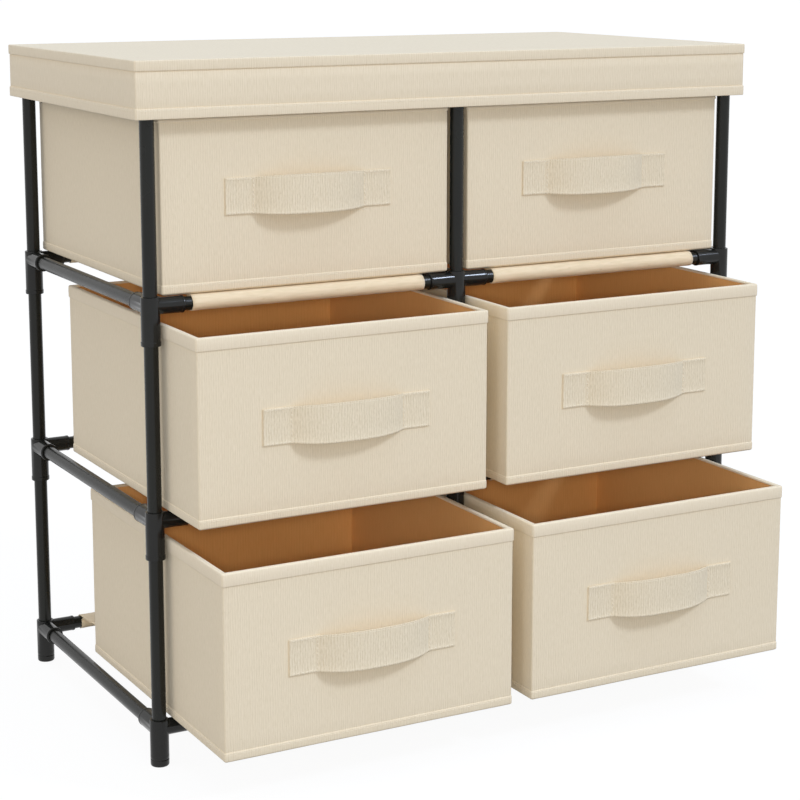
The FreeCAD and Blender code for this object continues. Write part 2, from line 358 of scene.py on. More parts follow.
def clothMaterial(name, look):
    material, tree, shader = blankMaterial(name)
    cloth = wire(tree, "UVMap", uv_map="cloth")[0]
    place = wire(tree, "TexCoord")["Object"]
    weave = placeGroup(tree, slubWeave, {
        "Cloth": cloth,
        "Rib Pitch": look["ribPitch"],
        "Slub Length": look["slubLength"],
        "Rib Share": look["ribShare"],
    })
    mottle = {"Place": place, "Size": look["patch"], "Amount": look["uneven"]}
    shade = placeGroup(tree, softMottle, mottle)["Shade"]
    colour = blendColour(tree, weave["Tone"], look["dark"], look["light"])
    tree.links.new(shadeBy(tree, colour, shade), shader.inputs["Base Color"])
    rough = [look["rough"] + swing for swing in clothBase["roughSwing"]]
    tree.links.new(remap(tree, weave["Tone"], 0, 1, *rough), shader.inputs["Roughness"])
    bumpInto(tree, shader, weave["Height"], look["bump"], look["depth"])
    shader.inputs["Specular IOR Level"].default_value = clothBase["specular"]
    shader.inputs["Sheen Weight"].default_value = look["sheen"]
    shader.inputs["Sheen Roughness"].default_value = clothBase["sheenRough"]
    shader.inputs["Sheen Tint"].default_value = clothBase["sheenTint"]
    return material


def coatedMaterial(name, look):
    material, tree, shader = blankMaterial(name)
    place = wire(tree, "TexCoord")["Object"]
    sizes = {"Place": place, "Grain Size": look["grain"], "Haze Size": look["haze"]}
    grain = placeGroup(tree, fineGrain, sizes)
    colour = blendColour(tree, grain["Haze"], look["dark"], look["light"])
    tree.links.new(colour, shader.inputs["Base Color"])
    tree.links.new(remap(tree, grain["Haze"], 0, 1, *look["rough"]), shader.inputs["Roughness"])
    bumpInto(tree, shader, grain["Grain"], look["bump"], look["depth"])
    shader.inputs["Specular IOR Level"].default_value = look["gloss"]
    return material


# each look: tones as read on a screen, sizes in metres, slow patches, roughness, bump and sheen
drawerCloth = clothMaterial("creamSlubCloth", {
    "dark": paint(230, 213, 181), "light": paint(242, 226, 197),
    "ribPitch": 0.0018, "slubLength": 0.008, "ribShare": 0.4,
    "patch": 0.09, "uneven": 0.015, "rough": 0.88, "bump": 0.25, "depth": 0.0003, "sheen": 0.1,
})
lidCloth = clothMaterial("creamLidCloth", {
    "dark": paint(230, 213, 181), "light": paint(242, 226, 198),
    "ribPitch": 0.0018, "slubLength": 0.01, "ribShare": 0.35,
    "patch": 0.12, "uneven": 0.012, "rough": 0.88, "bump": 0.2, "depth": 0.0003, "sheen": 0.15,
})
rimCloth = clothMaterial("creamBindingCloth", {
    "dark": paint(234, 217, 186), "light": paint(243, 227, 199),
    "ribPitch": 0.0018, "slubLength": 0.008, "ribShare": 0.25,
    "patch": 0.05, "uneven": 0.015, "rough": 0.86, "bump": 0.2, "depth": 0.00025, "sheen": 0.1,
})
# the strap's dark yarn is darker than the drawer cloth's: partly its own rib tone, partly painted shade
# standing in for the shaded ribs of the loop
strapCloth = clothMaterial("creamStrapWeave", {
    "dark": paint(222, 205, 172), "light": paint(243, 228, 200),
    "ribPitch": 0.0021, "slubLength": 0.005, "ribShare": 0.4,
    "patch": 0.04, "uneven": 0.015, "rough": 0.88, "bump": 0.45, "depth": 0.0003, "sheen": 0.1,
})
# the shelf cloth is yellower than the drawer cloth: its own cream, with a yellow tint that is painted warm
# light reflected from the brown drawer insides
shelfCloth = clothMaterial("creamShelfCloth", {
    "dark": paint(229, 208, 170), "light": paint(246, 226, 193),
    "ribPitch": 0.004, "slubLength": 0.02, "ribShare": 0.14,
    "patch": 0.05, "uneven": 0.025, "rough": 0.85, "bump": 0.25, "depth": 0.0002, "sheen": 0.12,
})
liningCloth = clothMaterial("brownLiningCloth", {
    "dark": paint(228, 173, 107), "light": paint(236, 183, 118),
    "ribPitch": 0.0026, "slubLength": 0.02, "ribShare": 0.3,
    "patch": 0.06, "uneven": 0.03, "rough": 0.8, "bump": 0.15, "depth": 0.0002, "sheen": 0.05,
})
threadCloth = clothMaterial("paleSewingThread", {
    "dark": paint(233, 219, 193), "light": paint(246, 234, 209),
    "ribPitch": 0.0005, "slubLength": 0.003, "ribShare": 0.4,
    "patch": 0.02, "uneven": 0.03, "rough": 0.75, "bump": 0.3, "depth": 0.0001, "sheen": 0.1,
})
framePaint = coatedMaterial("charcoalPowderCoat", {
    "dark": paint(23, 23, 20), "light": paint(29, 30, 26), "grain": 0.0007, "haze": 0.04,
    "rough": (0.22, 0.3), "bump": 0.08, "depth": 0.0002, "gloss": 0.28,
})
connectorPlastic = coatedMaterial("blackMouldedPlastic", {
    "dark": paint(26, 26, 24), "light": paint(32, 32, 30), "grain": 0.0005, "haze": 0.02,
    "rough": (0.1, 0.16), "bump": 0.03, "depth": 0.0001, "gloss": 0.3,
})
boardWrap = coatedMaterial("brownWrappedBoard", {
    "dark": paint(227, 172, 106), "light": paint(236, 183, 118), "grain": 0.0012, "haze": 0.05,
    "rough": (0.75, 0.85), "bump": 0.3, "depth": 0.0003, "gloss": 0.25,
})
rawBoard = coatedMaterial("rawFibreboard", {
    "dark": paint(140, 110, 78), "light": paint(172, 142, 104), "grain": 0.0014, "haze": 0.03,
    "rough": (0.7, 0.85), "bump": 0.4, "depth": 0.0003, "gloss": 0.25,
})
print("materials made")


# mesh helpers
def makePiece(name, bm, material, body, nodes, sharp=38):
    bmesh.ops.recalc_face_normals(bm, faces=bm.faces)
    for face in bm.faces:
        face.smooth = True
    mesh = bpy.data.meshes.new(name)
    bm.to_mesh(mesh)
    bm.free()
    mesh.set_sharp_from_angle(angle=math.radians(sharp))
    mesh.materials.append(material)
    piece = bpy.data.objects.new(name, mesh)
    scene.collection.objects.link(piece)
    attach(piece, body)
    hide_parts(*nodes)
    return piece


def clothLayer(bm):
    return bm.loops.layers.uv.get("cloth") or bm.loops.layers.uv.new("cloth")


def lathe(bm, base, axis, outline, steps=32):
    # turn a closed outline of (radius, distance along the axis) round the axis
    axis = Vector(axis)
    side = axis.orthogonal().normalized()
    up = axis.cross(side)
    turns = [2 * math.pi * i / steps for i in range(steps)]
    spokes = [side * math.cos(t) + up * math.sin(t) for t in turns]
    rings = []
    for radius, along in outline:
        centre = base + axis * along
        if radius == 0:
            rings.append([bm.verts.new(centre)])
            continue
        rings.append([bm.verts.new(centre + spoke * radius) for spoke in spokes])
    for first, second in zip(rings, rings[1:] + rings[:1]):
        for i in range(steps):
            around = (first[i % len(first)], first[(i + 1) % len(first)],
                      second[(i + 1) % len(second)], second[i % len(second)])
            corners = list(dict.fromkeys(around))
            if len(corners) > 2:
                bm.faces.new(corners)


def fuse(solids, cutter):
    # join closed meshes into one and take the cutter out of it
    objects = []
    for bm in solids + [cutter]:
        mesh = bpy.data.meshes.new("mould")
        bm.to_mesh(mesh)
        bm.free()
        objects.append(bpy.data.objects.new("mould", mesh))
        scene.collection.objects.link(objects[-1])
    body = objects[0]
    for other in objects[1:]:
        step = body.modifiers.new("join", "BOOLEAN")
        step.operation = "DIFFERENCE" if other is objects[-1] else "UNION"
        step.solver = "EXACT"
        step.object = other
    made = bpy.data.meshes.new_from_object(body.evaluated_get(bpy.context.evaluated_depsgraph_get()))
    for item in objects:
        mesh = item.data
        bpy.data.objects.remove(item)
        bpy.data.meshes.remove(mesh)
    return made


def dressBoard(node, material):
    # a board keeps the shape of its solid
    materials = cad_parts[node].data.materials
    materials.clear()
    materials.append(material)


def solidBoxes(node):
    # the corners of each separate solid in a node
    bm = bmesh.new()
    bm.from_mesh(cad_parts[node].data)
    bmesh.ops.remove_doubles(bm, verts=bm.verts, dist=0.002 * mm)
    left = set(bm.verts)
    boxes = []
    while left:
        found = [left.pop()]
        points = []
        while found:
            vert = found.pop()
            points.append(vert.co.copy())
            near = [edge.other_vert(vert) for edge in vert.link_edges]
            near = [other for other in near if other in left]
            left.difference_update(near)
            found += near
        low = Vector(min(p[k] for p in points) for k in range(3))
        high = Vector(max(p[k] for p in points) for k in range(3))
        boxes.append((low, high))
    bm.free()
    return boxes


# tubes of the frame
tube = {"wall": 0.8 * mm, "edge": 0.15 * mm, "steps": 40}


def tubePiece(name, node):
    bm = bmesh.new()
    for low, high in solidBoxes(node):
        size = high - low
        k = max(range(3), key=lambda i: size[i])
        axis = Vector((float(k == 0), float(k == 1), float(k == 2)))
        start = (low + high) / 2 - axis * size[k] / 2
        radius = min(size[i] for i in range(3) if i != k) / 2
        inner = radius - tube["wall"]
        edge = tube["edge"]
        outline = [(inner, 0), (radius - edge, 0), (radius, edge), (radius, size[k] - edge),
                   (radius - edge, size[k]), (inner, size[k])]
        lathe(bm, start, axis, outline, tube["steps"])
    return makePiece(name, bm, framePaint, "frame", [node])


for post in posts:
    for side in sides:
        tubePiece(f"uprightTubes_{side}_{post}", f"upright_{side}_{post}")
    tubePiece(f"sideTubes_{post}", f"side_rails_{post}")
for tier in tiers:
    tubePiece(f"crossTubes_{tier}", f"cross_rails_{tier}")
print("tubes made")

# connectors
connector = {
    "hubRadius": postX["left"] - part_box("connectors_base")[0].x,
    "postBore": 5.7 * mm,
    "sideRadius": 7.22 * mm,
    "sideBore": 5.7 * mm,
    "crossRadius": 6.35 * mm,
    "crossBore": 5.4 * mm,
    "reach": 26 * mm,
    "bottom": 8.3 * mm,     # post axis to the closed end of a rail socket
    "stopTop": -11 * mm,    # the stop inside the hub, from the rail axis
    "stopBottom": -13 * mm,
    "round": 0.6 * mm,
    "lip": 0.35 * mm,       # how far the ring at a mouth stands out
    "lipLength": 3.4 * mm,
    "plainLip": 0.02 * mm,  # on the lowest tier, above the feet
    "railLip": 0.2 * mm,
    "railLipLength": 1.8 * mm,
    "steps": 32,
    "sharp": 30,            # degrees from which an edge stays sharp, on the feet too
}


def mouthOutline(radius, reach, lip, lipLength):
    # from the axis out to the wall, along it, and round the lip at the mouth
    soft, ring, start = connector["round"], radius + lip, reach - lipLength
    return [
        (0, 0), (radius, 0), (radius, start - lip), (radius + lip * 0.7, start - lip * 0.3),
        (ring, start + lip * 0.4), (ring, reach - soft),
        (ring - soft * 0.3, reach - soft * 0.3), (ring - soft, reach), (0, reach),
    ]


def holeOutline(radius, start, end):
    return [(0, start), (radius, start), (radius, end), (0, end)]


def connectorMesh(post, side, tier):
    centre = Vector((postX[post], sideY[side], tierZ[tier]))
    low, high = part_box(f"connectors_{tier}")
    drop, rise = tierZ[tier] - low.z, high.z - tierZ[tier]
    if tier == "top":
        drop = tierZ[tier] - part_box("lid_hem")[0].z     # these sockets end behind the skirt
    soft, hub, steps = connector["round"], connector["hubRadius"], connector["steps"]
    down = Vector((0, 0, -1))

    # the hub, hung on the rail axis
    lip = connector["plainLip"] if tier == "base" else connector["lip"]
    head = [(0, -rise), (hub - soft, -rise), (hub - soft * 0.3, -rise + soft * 0.3), (hub, -rise + soft)]
    neck = mouthOutline(hub, drop, lip, connector["lipLength"])[2:]
    solids, cutter = [bmesh.new()], bmesh.new()
    lathe(solids[0], centre, down, head + neck, steps)

    # sockets for the rails that meet here
    ways = []
    for axis, end in ((Vector((1, 0, 0)), "right"), (Vector((-1, 0, 0)), "left")):
        if post != end:
            ways.append((axis, connector["crossRadius"], connector["crossBore"]))
    inward = Vector((0, 1 if side == "front" else -1, 0))
    ways.append((inward, connector["sideRadius"], connector["sideBore"]))
    reach = connector["reach"]
    for axis, radius, bore in ways:
        solids.append(bmesh.new())
        socket = mouthOutline(radius, reach, connector["railLip"], connector["railLipLength"])
        lathe(solids[-1], centre, axis, socket, steps)
        lathe(cutter, centre, axis, holeOutline(bore, connector["bottom"], reach + mm), steps)

    # post sockets below and above the stop
    spans = [(-connector["stopBottom"], drop + mm)]
    if tier != "top":
        spans.append((-rise - mm, -connector["stopTop"]))
    for start, end in spans:
        lathe(cutter, centre, down, holeOutline(connector["postBore"], start, end), steps)
    for bm in solids + [cutter]:
        bmesh.ops.recalc_face_normals(bm, faces=bm.faces)
    return fuse(solids, cutter)


for tier in tiers:
    bm = bmesh.new()
    for post in posts:
        for side in sides:
            made = connectorMesh(post, side, tier)
            bm.from_mesh(made)
            bpy.data.meshes.remove(made)
    nodes, sharp = [f"connectors_{tier}"], connector["sharp"]
    makePiece(f"socketConnectors_{tier}", bm, connectorPlastic, "frame", nodes, sharp)
print("connectors made")

# foot caps
foot = {"height": 5.5 * mm, "stem": 9 * mm, "stemRadius": 5.5 * mm, "edge": 1.2 * mm}


def footPiece():
    bm = bmesh.new()
    radius, edge, height = connector["hubRadius"], foot["edge"], foot["height"]
    stem, stemTop, shoulder = foot["stemRadius"], height + foot["stem"], height - 0.1 * mm
    outline = [
        (0, 0), (radius - edge, 0), (radius - edge * 0.4, edge * 0.2), (radius - edge * 0.1, edge * 0.6),
        (radius, edge * 1.2), (radius, height - 0.5 * mm), (radius - 0.3 * mm, shoulder),
        (stem, shoulder), (stem, stemTop), (0, stemTop),
    ]
    for post in posts:
        for side in sides:
            lathe(bm, Vector((postX[post], sideY[side], 0)), Vector((0, 0, 1)), outline)
    sharp = connector["sharp"]
    return makePiece("footCaps", bm, connectorPlastic, "frame", ["foot_caps"], sharp)


footPiece()
print("feet made")

# sewn shelves
shelf = {
    "cloth": 0.6 * mm,
    "snug": 0.55 * mm,          # the sleeve lies this much closer to its rail than the shelf's top
    "flap": 17 * mm,            # sewn-down end of the cloth behind a sleeve
    "flapDrop": 1.0 * mm,
    "flapSteps": 6,
    "flapJoint": (0.4 * mm, 0.5 * mm, 0.3),     # where it meets the turn: out, down, part of sleeve
    "turnStart": 58,            # degrees past the top of the rail where the flap meets the turn
    "snugEase": 45,             # degrees over which the shelf settles onto the sleeve
    "edgeSweep": 7.5 * mm,      # the free edges draw in this far at the middle
    "sleeveHalf": 6.4 * mm,
    "pucker": 0.22 * mm,
    "puckerRate": (90, 160, 31),    # across the shelf, along it, from tier to tier
    "columns": 64,
    "runSteps": 26,
    "turnSteps": 26,
    "sharp": 60,
}


def shelfPath(top, centreZ):
    # middle line of the cloth: front flap, round the front rail, over to the rear rail, rear flap
    # each point has its place along the depth, its height and how far it belongs to a sleeve
    radius = top - centreZ - shelf["cloth"] / 2
    begin, count = shelf["turnStart"], shelf["flapSteps"]
    points = []
    for y, way in ((sideY["front"], 1), (sideY["rear"], -1)):
        turn = []
        for i in range(shelf["turnSteps"] + 1):
            degrees = begin + (360 - begin) * i / shelf["turnSteps"]
            angle = math.radians(degrees)
            near = radius - shelf["snug"] * min((360 - degrees) / shelf["snugEase"], 1.0)
            turn.append((y + way * near * math.sin(angle), centreZ + near * math.cos(angle), 1.0))
        flapZ = centreZ + radius - shelf["flapDrop"]
        flap = [(y + way * (radius + shelf["flap"] * (1 - i / count)), flapZ, 0.0) for i in range(count)]
        out, down, part = shelf["flapJoint"]
        flap.append((y + way * (radius + out), flapZ - down, part))
        points.append(flap + turn)
    front, rear = points[0], points[1][::-1]
    start, end = front[-1][0], rear[0][0]
    steps = shelf["runSteps"]
    run = [(start + (end - start) * i / steps, centreZ + radius, 0.0) for i in range(1, steps)]
    return front + run + rear


def shelfPiece(row, bay):
    node = f"shelf_{row}_{bay}"
    low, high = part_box(node)
    tier = {"lower": "base", "middle": "lower", "upper": "upper"}[row]
    path = shelfPath(high.z, tierZ[tier])
    reach = (sideY["rear"] - sideY["front"]) / 2 - shelf["sleeveHalf"]
    middle = frameMiddle.y
    rateX, rateLength, rateTier = shelf["puckerRate"]
    bm = bmesh.new()
    layer = clothLayer(bm)
    lengths = [0.0]
    for a, b in zip(path, path[1:]):
        lengths.append(lengths[-1] + math.dist(a[:2], b[:2]))
    grid = []
    for j, (y, z, sleeve) in enumerate(path):
        share = max(0.0, 1 - ((y - middle) / reach) ** 2)
        inset = shelf["edgeSweep"] * share * (1 - sleeve)
        line = []
        for i in range(shelf["columns"] + 1):
            x = low.x + inset + (high.x - low.x - 2 * inset) * i / shelf["columns"]
            spot = Vector((x * rateX, lengths[j] * rateLength, tierZ[tier] * rateTier))
            wave = noise.noise(spot) * shelf["pucker"] * sleeve
            side = sideY["front"] if y < middle else sideY["rear"]
            out = Vector((0, y - side, z - tierZ[tier])).normalized() * wave if sleeve else Vector()
            line.append(bm.verts.new(Vector((x, y, z)) + out))
        grid.append(line)
    for j in range(len(grid) - 1):
        for i in range(shelf["columns"]):
            corners = ((j, i), (j, i + 1), (j + 1, i + 1), (j + 1, i))
            face = bm.faces.new([grid[b][a] for b, a in corners])
            for loop, (b, a) in zip(face.loops, corners):
                loop[layer].uv = (lengths[b], low.x + (high.x - low.x) * a / shelf["columns"])
    sharp = shelf["sharp"]
    piece = makePiece(f"sewnShelf_{row}_{bay}", bm, shelfCloth, "frame", [node], sharp)
    thick = piece.modifiers.new("cloth", "SOLIDIFY")
    thick.thickness = shelf["cloth"]
    thick.offset = 0
    return piece


for row in rows:
    for bay in bays:
        shelfPiece(row, bay)
print("shelves made")

# walls of drawers and lid
wall = {"arcSteps": 4, "spacing": 12 * mm, "leastRadius": 0.05 * mm}


def ringPoints(low, high, radius, inset):
    # one level of a box with rounded upright edges
    r = max(radius - inset, wall["leastRadius"])
    x0, x1, y0, y1 = low.x + inset, high.x - inset, low.y + inset, high.y - inset
    centres = ((x0 + r, y0 + r), (x1 - r, y0 + r), (x1 - r, y1 - r), (x0 + r, y1 - r))
    runs = [math.ceil((high[k] - low[k]) / wall["spacing"]) for k in range(2)]

    def onArc(k, angle):
        x, y = centres[k % 4]
        return Vector((x + r * math.cos(angle), y + r * math.sin(angle)))

    points = []
    for k in range(4):
        for step in range(wall["arcSteps"] + 1):
            points.append(onArc(k, math.pi + (k + step / wall["arcSteps"]) * math.pi / 2))
        last, ahead = points[-1], onArc(k + 1, math.pi + (k + 1) * math.pi / 2)
        points += [last.lerp(ahead, i / runs[k % 2]) for i in range(1, runs[k % 2])]
    return points


def sweepWalls(bm, low, high, radius, outline, closed=False):
    # a ring for each (inset, height) of the outline, joined in turn; one that stays open gets flat ends
    layer = clothLayer(bm)
    outer = ringPoints(low, high, radius, min(inset for inset, height in outline))
    us = [0.0]
    for a, b in zip(outer, outer[1:] + outer[:1]):
        us.append(us[-1] + (b - a).length)
    vs = [outline[0][1]]
    for a, b in zip(outline, outline[1:] + outline[:1]):
        vs.append(vs[-1] + math.dist(a, b))
    rings = []
    for inset, height in outline:
        rings.append([bm.verts.new((p.x, p.y, height)) for p in ringPoints(low, high, radius, inset)])
    count = len(outer)
    for j in range(len(rings) if closed else len(rings) - 1):
        above = rings[(j + 1) % len(rings)]
        for i in range(count):
            k = (i + 1) % count
            face = bm.faces.new((rings[j][i], rings[j][k], above[k], above[i]))
            places = ((us[i], vs[j]), (us[i + 1], vs[j]), (us[i + 1], vs[j + 1]), (us[i], vs[j + 1]))
            for loop, place in zip(face.loops, places):
                loop[layer].uv = place
    if not closed:
        for ring in (rings[0], rings[-1]):
            for loop in bm.faces.new(ring).loops:
                loop[layer].uv = loop.vert.co.xy


def levels(inset, start, end, spacing=10 * mm):
    count = max(1, math.ceil(abs(end - start) / spacing))
    return [(inset, start + (end - start) * i / count) for i in range(count + 1)]


def ripple(bm, amount, size, seed):
    # small slow unevenness of cloth over a panel
    bmesh.ops.recalc_face_normals(bm, faces=bm.faces)
    bm.normal_update()
    shift = Vector((seed, seed * 2.7, seed * 0.6))
    moves = [vert.normal * noise.noise(vert.co / size + shift) * amount for vert in bm.verts]
    for vert, move in zip(bm.verts, moves):
        vert.co += move


# stitches
stitch = {
    "length": 2.7 * mm,
    "pitch": 3.5 * mm,
    "hem": 0.2 * mm,        # radius of the thread at a hem, on a strap's loop and on its patches
    "strap": 0.2 * mm,
    "patch": 0.36 * mm,
    "lift": 0.04 * mm,
    "dip": 0.6,             # its ends go into the cloth by this share of its radius
    "slant": 0.07,
    "margin": 3 * mm,       # a hem's line starts this far from the corner
    "sides": 6,
    # place along a stitch and share of its radius there
    "profile": ((-1, 0.35), (-0.72, 0.85), (0, 1.0), (0.72, 0.85), (1, 0.35)),
}


def addStitch(bm, middle, along, out, radius):
    layer = clothLayer(bm)
    along = along.normalized()
    across = out.cross(along).normalized()
    along = (along + across * stitch["slant"]).normalized()
    across = out.cross(along)
    half, sides = stitch["length"] / 2, stitch["sides"]
    turns = [2 * math.pi / sides * i for i in range(sides)]
    spokes = [across * math.cos(t) + out * math.sin(t) for t in turns]
    rings = []
    for place, share in stitch["profile"]:
        lift = stitch["lift"] - radius * stitch["dip"] * place * place
        centre = middle + along * half * place + out * lift
        rings.append([bm.verts.new(centre + spoke * radius * share) for spoke in spokes])
    faces = [bm.faces.new(rings[0][::-1]), bm.faces.new(rings[-1])]
    for first, second in zip(rings, rings[1:]):
        for i in range(sides):
            k = (i + 1) % sides
            faces.append(bm.faces.new((first[i], first[k], second[k], second[i])))
    for face in faces:
        for loop in face.loops:
            loop[layer].uv = (loop.vert.co.dot(across), loop.vert.co.dot(along))


def sewLine(bm, start, end, out, radius):
    run = end - start
    count = max(1, round(run.length / stitch["pitch"]))
    for i in range(count):
        addStitch(bm, start + run * (i + 0.5) / count, run, out, radius)


def sewRound(bm, low, high, height):
    # a stitch line round the four upright sides of a box
    margin = stitch["margin"]
    corners = [(low.x, low.y), (high.x, low.y), (high.x, high.y), (low.x, high.y)]
    for k in range(4):
        a = Vector((*corners[k], height))
        b = Vector((*corners[(k + 1) % 4], height))
        ahead = (b - a).normalized()
        out = ahead.cross(Vector((0, 0, 1)))
        sewLine(bm, a + ahead * margin, b - ahead * margin, out, stitch["hem"])


# drawers
drawer = {
    "radius": 1.9 * mm,         # upright corners
    "proud": 0.8 * mm,          # the binding stands out this far
    "hemInset": 0.3 * mm,       # the hem a little less
    "wall": 2.5 * mm,
    "lining": 0.5 * mm,
    "binding": 0.8 * mm,
    "turnIn": 1.8 * mm,         # how far the binding turns down inside
    "hem": 8 * mm,
    "hemStitch": 1.7 * mm,      # stitch line below the hem's upper edge
    "hemTuck": 4.2 * mm,        # how far the hem turns under before it lies flat
    "ripple": 0.16 * mm,
    "rippleSize": 0.07,
    "rippleSeed": (1.3, 2.1, 5.7),      # first drawer, next row, next bay
}


def shellMesh(low, high, top):
    proud, hem = drawer["proud"], drawer["hem"]
    inner = proud + drawer["wall"]
    z = low.z
    edge = drawer["hemInset"]
    outline = [(drawer["hemTuck"], z), (edge + 1.7 * mm, z + 0.7 * mm), (edge + 0.7 * mm, z + 1.25 * mm)]
    outline += [(edge + 0.15 * mm, z + 1.75 * mm), (edge, z + 2.4 * mm)]
    outline += [(edge, z + hem - 1.1 * mm), (edge + 0.08 * mm, z + hem - 0.5 * mm)]
    outline += [(edge + 0.25 * mm, z + hem - 0.1 * mm), (proud + 0.08 * mm, z + hem + 0.1 * mm)]
    outline += levels(proud, z + hem + 0.6 * mm, top)
    outline += levels(inner, top, z + drawer["wall"])
    bm = bmesh.new()
    sweepWalls(bm, low, high, drawer["radius"], outline)
    return bm


def liningMesh(low, high, top):
    outer = drawer["proud"] + drawer["wall"]
    inner = outer + drawer["lining"]
    z = low.z + drawer["wall"]
    floor, soft = z + drawer["lining"], 0.8 * mm
    outline = levels(outer, z, top) + levels(inner, top, floor + soft)
    outline += [(inner + 0.25 * mm, floor + 0.25 * mm), (inner + soft, floor)]
    bm = bmesh.new()
    sweepWalls(bm, low, high, drawer["radius"], outline)
    return bm


def rimMesh(low, high, bottom):
    binding, proud = drawer["binding"], drawer["proud"]
    inner = proud + drawer["wall"] + drawer["lining"]
    edge = inner + binding
    top = high.z
    soft = 0.45 * mm
    turned = top - drawer["turnIn"]
    # up the outside, over the rounded top, down inside, and back along the walls
    outline = [(proud, bottom), (proud * 0.5, bottom), (proud * 0.12, bottom + soft * 0.6)]
    outline += [(0, bottom + soft * 1.6), (-0.12 * mm, (bottom + top) / 2), (0, top - 1.3 * mm)]
    outline += [(0.2 * mm, top - 0.6 * mm), (0.7 * mm, top - 0.15 * mm), (1.5 * mm, top)]
    outline += [(edge - 1.3 * mm, top), (edge - 0.5 * mm, top - 0.15 * mm)]
    outline += [(edge - 0.1 * mm, top - 0.6 * mm), (edge, top - 1.1 * mm)]
    outline += [(edge - 0.1 * mm, turned + 0.2 * mm), (edge - 0.4 * mm, turned)]
    outline += [(inner, turned), (inner, top - binding), (proud, top - binding)]
    bm = bmesh.new()
    sweepWalls(bm, low, high, drawer["radius"], outline, closed=True)
    return bm


# handle straps
strap = {
    "cloth": 1.0 * mm,
    "patch": 23 * mm,
    "steps": 96,
    "edge": (0.5 * mm, 0.15 * mm),      # rounding of the top edge on the patches and on the loop
    "roll": (0.22 * mm, 0.0),           # the folded top edge stands out this far
    "foldEnd": 3 * mm,                  # over this length the fold flattens out on the loop
    "fullness": 2.8,                    # 2 is a round bow, more is a squarer one
    "pleat": 0.55 * mm,                 # ridge where the loop leaves the patch
    "pleatWidth": 0.7 * mm,
    "pleatCrest": 0.3 * mm,             # its place, outside the loop's end
    "fineStep": 0.3 * mm,               # closer points round the pleat
    "fineRange": (-4, 7),
    "coarseGap": (2 * mm, 2.5 * mm),    # no other points this near, inside and outside
    "seam": 1.5 * mm,                   # stitch line from the strap's edge
    "swell": 2.4 * mm,                  # the loop is this much taller at its middle
}


def strapPath(low, high, face):
    # middle line of the strap, seen from above: flat, a shallow bow, flat
    half = (high.x - low.x) / 2
    centre = (low.x + high.x) / 2
    loop = half - strap["patch"]
    bulge = face - low.y - strap["cloth"]
    step, (inside, outside) = strap["fineStep"], strap["coarseGap"]
    fine = [side * (loop + step * i) for side in (-1, 1) for i in range(*strap["fineRange"])]
    coarse = [-half + 2 * half * i / strap["steps"] for i in range(strap["steps"] + 1)]
    coarse = [x for x in coarse if not loop - inside < abs(x) < loop + outside]
    points = []
    for x in sorted(fine + coarse):
        out = bulge * max(1 - (abs(x) / loop) ** strap["fullness"], 0.0)
        away = abs(x) - loop - strap["pleatCrest"]
        out += strap["pleat"] * math.exp(-(away / strap["pleatWidth"]) ** 2)
        points.append(Vector((centre + x, face - strap["cloth"] / 2 - out, 0)))
    return points


def strapSwell(low, high, path, point):
    # how much taller than its patches the strap is here
    bulge = path[0].y - strap["cloth"] / 2 - low.y
    return 1 + strap["swell"] / (high.z - low.z) * (path[0].y - point.y) / bulge


def strapMesh(low, high, path):
    bm = bmesh.new()
    layer = clothLayer(bm)
    half, tall = strap["cloth"] / 2, high.z - low.z
    middle, centre = (low.z + high.z) / 2, (low.x + high.x) / 2
    loop = (high.x - low.x) / 2 - strap["patch"]

    def hemmed(edge, roll):
        top, front = tall / 2, half + roll
        fold = [(-half, top - edge), (-half * 0.4, top), (half * 0.7, top), (front, top - edge)]
        return fold + [(front, top - edge * 2.2), (half, top - edge * 4)]

    def sectionAt(point):
        inward = min(max(loop - abs(point.x - centre), 0.0) / strap["foldEnd"], 1.0)
        edge, roll = ((a + (b - a) * inward) for a, b in (strap["edge"], strap["roll"]))
        lower = [(a, -b) for a, b in hemmed(strap["edge"][0], strap["roll"][0])[::-1]]
        rises = (tall / 4, 0, -tall / 4)
        return hemmed(edge, roll) + [(half, b) for b in rises] + lower + [(-half, -b) for b in rises]

    rings, places = [], []
    length = 0.0
    for i, point in enumerate(path):
        before, after = path[max(i - 1, 0)], path[min(i + 1, len(path) - 1)]
        ahead = (after - before).normalized()
        out = Vector((ahead.y, -ahead.x, 0))
        length += (point - path[max(i - 1, 0)]).length
        taller = strapSwell(low, high, path, point)
        section = sectionAt(point)
        ring = [point + out * away + Vector((0, 0, middle + up * taller)) for away, up in section]
        rings.append([bm.verts.new(place) for place in ring])
        places.append(length)
    count = len(section)
    for j in range(len(rings) - 1):
        for i in range(count):
            k = (i + 1) % count
            spots = ((j, i), (j, k), (j + 1, k), (j + 1, i))
            quad = bm.faces.new([rings[b][a] for b, a in spots])
            for corner, (b, a) in zip(quad.loops, spots):
                corner[layer].uv = (places[b], section[a][1])
    for ring in (rings[0], rings[-1]):
        for corner in bm.faces.new(ring).loops:
            corner[layer].uv = (corner.vert.co.y, corner.vert.co.z)
    return bm


